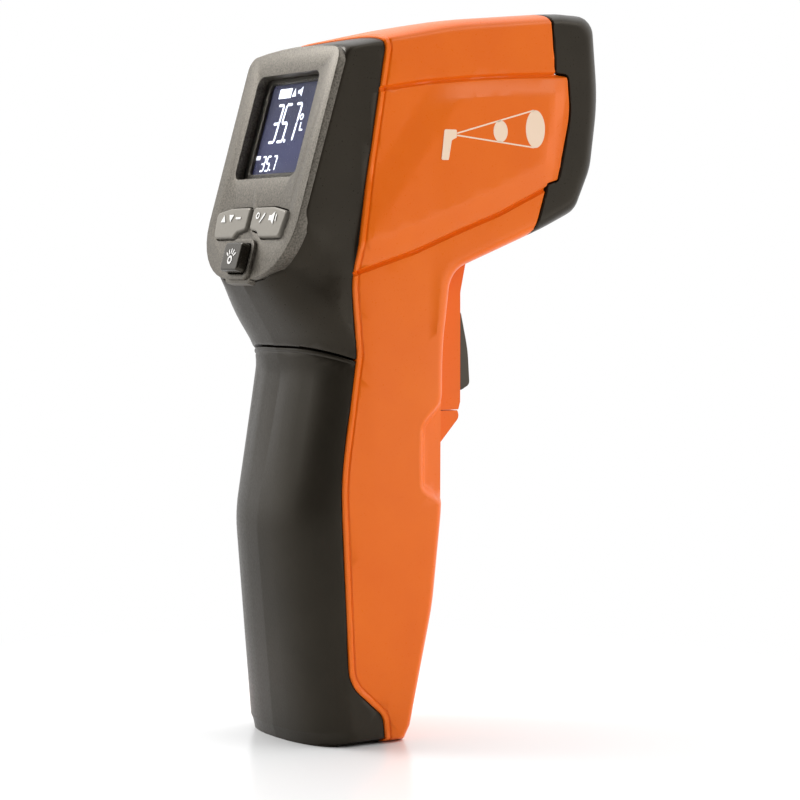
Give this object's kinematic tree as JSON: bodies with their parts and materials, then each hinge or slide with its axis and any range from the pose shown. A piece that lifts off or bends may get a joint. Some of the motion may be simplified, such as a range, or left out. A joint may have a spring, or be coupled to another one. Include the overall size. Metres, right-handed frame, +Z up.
{
  "type": "infrared thermometer",
  "caption": "Pistol-grip infrared thermometer with a display head, grey keys, a sprung trigger under the nose and a hinged battery door in the handle.",
  "frame": {"origin": "middle of the foot of the handle, on the surface it stands on", "axes": "+X is the way it aims, +Y its left side, +Z up"},
  "size_m": [0.0883, 0.0414, 0.16],
  "materials": {
    "orange_shell": "satin",
    "black_shell": "satin",
    "bezel": "satin",
    "window": "polished",
    "panel": "gloss",
    "backlight": "diffuse",
    "contact_rubber": "matte",
    "grey_key": "satin",
    "dark_key": "satin",
    "silicone": "matte",
    "circuit_board": "satin",
    "chip": "matte",
    "barrel": "satin",
    "lens": "polished",
    "steel": "satin",
    "brass": "satin",
    "flex": "satin",
    "lead": "satin",
    "switch_lead": "satin",
    "battery": "satin",
    "snap": "satin"
  },
  "bodies": {
    "body": {"right_casing": "orange_shell", "left_casing": "orange_shell", "rear_housing": "black_shell", "rear_grip": "black_shell", "nose_cap": "black_shell", "display_bezel": "bezel", "display_window": "window", "display_panel": "panel", "display_backlight": "backlight", "contact_strip": "contact_rubber", "button_mat": "silicone", "main_board": "circuit_board", "processor": "chip", "buzzer": "chip", "sensor_barrel": "barrel", "infrared_lens": "lens", "thermopile_sensor": "steel", "sensor_board": "circuit_board", "sensor_ribbon": "flex", "laser_module": "brass", "laser_window": "lens", "trigger_pin": "steel", "trigger_spring": "steel", "trigger_switch": "chip", "switch_leads": "switch_lead", "battery": "battery", "battery_snap": "snap", "battery_leads": "lead", "battery_tray": "barrel", "door_hinge_pin": "steel", "casing_screws": "steel"},
    "trigger": {"trigger": "dark_key"},
    "left_key": {"left_button": "grey_key"},
    "right_key": {"right_button": "grey_key"},
    "laser_key": {"laser_button": "dark_key"},
    "door": {"battery_door": "orange_shell"}
  },
  "joints": [
    {"name": "trigger_pull", "type": "hinge", "parent": "body", "child": "trigger", "pos_m": [0.025, 0, 0.0912], "axis": [0, 1, 0], "range_deg": [0, 8], "stiffness_Nm_per_rad": 0.12, "springref_deg": -5.73, "deforming": ["trigger_spring"]},
    {"name": "left_key_press", "type": "slide", "parent": "body", "child": "left_key", "axis": [0.9593, 0, -0.2823], "range_m": [0, 0.0008], "stiffness_N_per_m": 1500, "springref_m": -0.0004},
    {"name": "right_key_press", "type": "slide", "parent": "body", "child": "right_key", "axis": [0.9593, 0, -0.2823], "range_m": [0, 0.0008], "stiffness_N_per_m": 1500, "springref_m": -0.0004},
    {"name": "laser_key_press", "type": "slide", "parent": "body", "child": "laser_key", "axis": [0.9593, 0, -0.2823], "range_m": [0, 0.0008], "stiffness_N_per_m": 1500, "springref_m": -0.0004},
    {"name": "door_swing", "type": "hinge", "parent": "body", "child": "door", "pos_m": [0.0102, 0, 0.0053], "axis": [0, 1, 0], "range_deg": [0, 75]}
  ]
}
